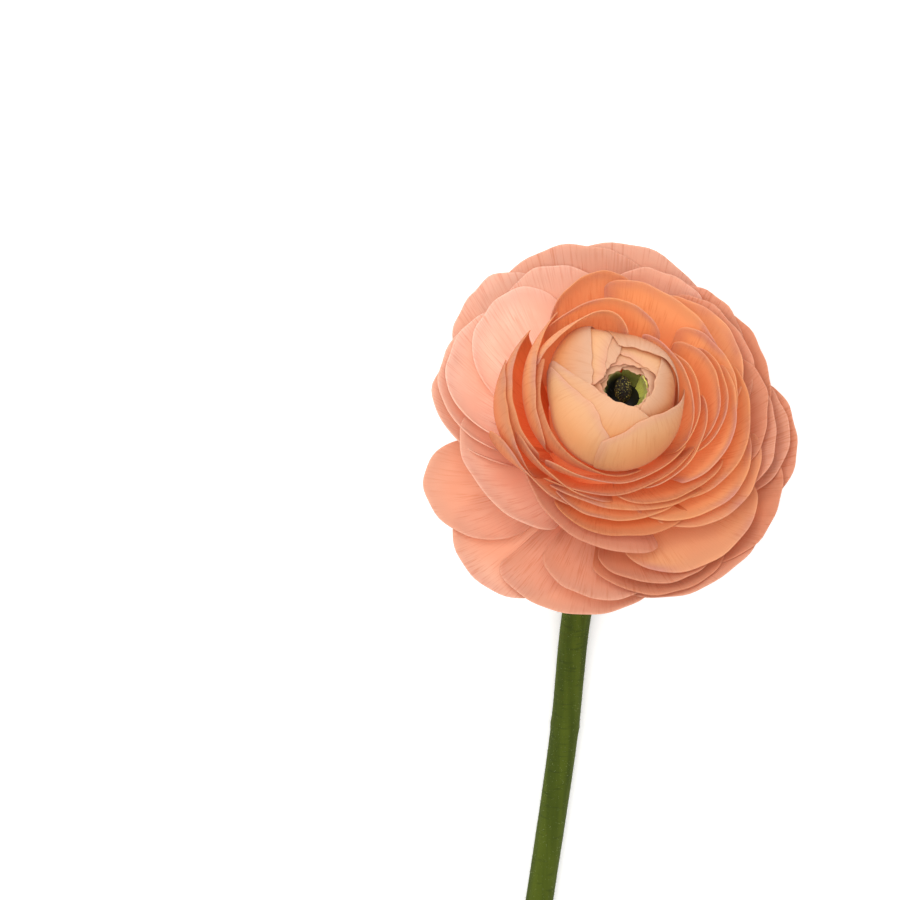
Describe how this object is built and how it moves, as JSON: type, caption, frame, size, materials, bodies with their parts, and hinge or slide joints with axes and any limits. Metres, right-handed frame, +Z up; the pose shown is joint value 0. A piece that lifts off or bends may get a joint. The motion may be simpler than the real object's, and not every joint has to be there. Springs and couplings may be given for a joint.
{
  "type": "ranunculus flower",
  "caption": "Cut, fully double ranunculus flower lying down: layered peach and orange petals cupped round a closed ball with a dark eye, on a bare curved green stem.",
  "frame": {"origin": "on the table, where the lowest outer petal rests", "axes": "+Z up from the table; the stem lies along -Y; the bloom's axis leans 38 degrees up from +Y"},
  "size_m": [0.0798, 0.1854, 0.0554],
  "materials": {
    "stem": "satin",
    "calyx": "matte",
    "outer_petals": "matte",
    "middle_petals": "matte",
    "heart_petals": "matte",
    "eye_petals": "matte",
    "carpel_head": "matte"
  },
  "bodies": {
    "root": {"stem": "stem", "calyx": "calyx", "outer_petals": "outer_petals", "middle_petals": "middle_petals", "heart_petals": "heart_petals", "eye_petals": "eye_petals", "carpel_head": "carpel_head"}
  },
  "joints": []
}
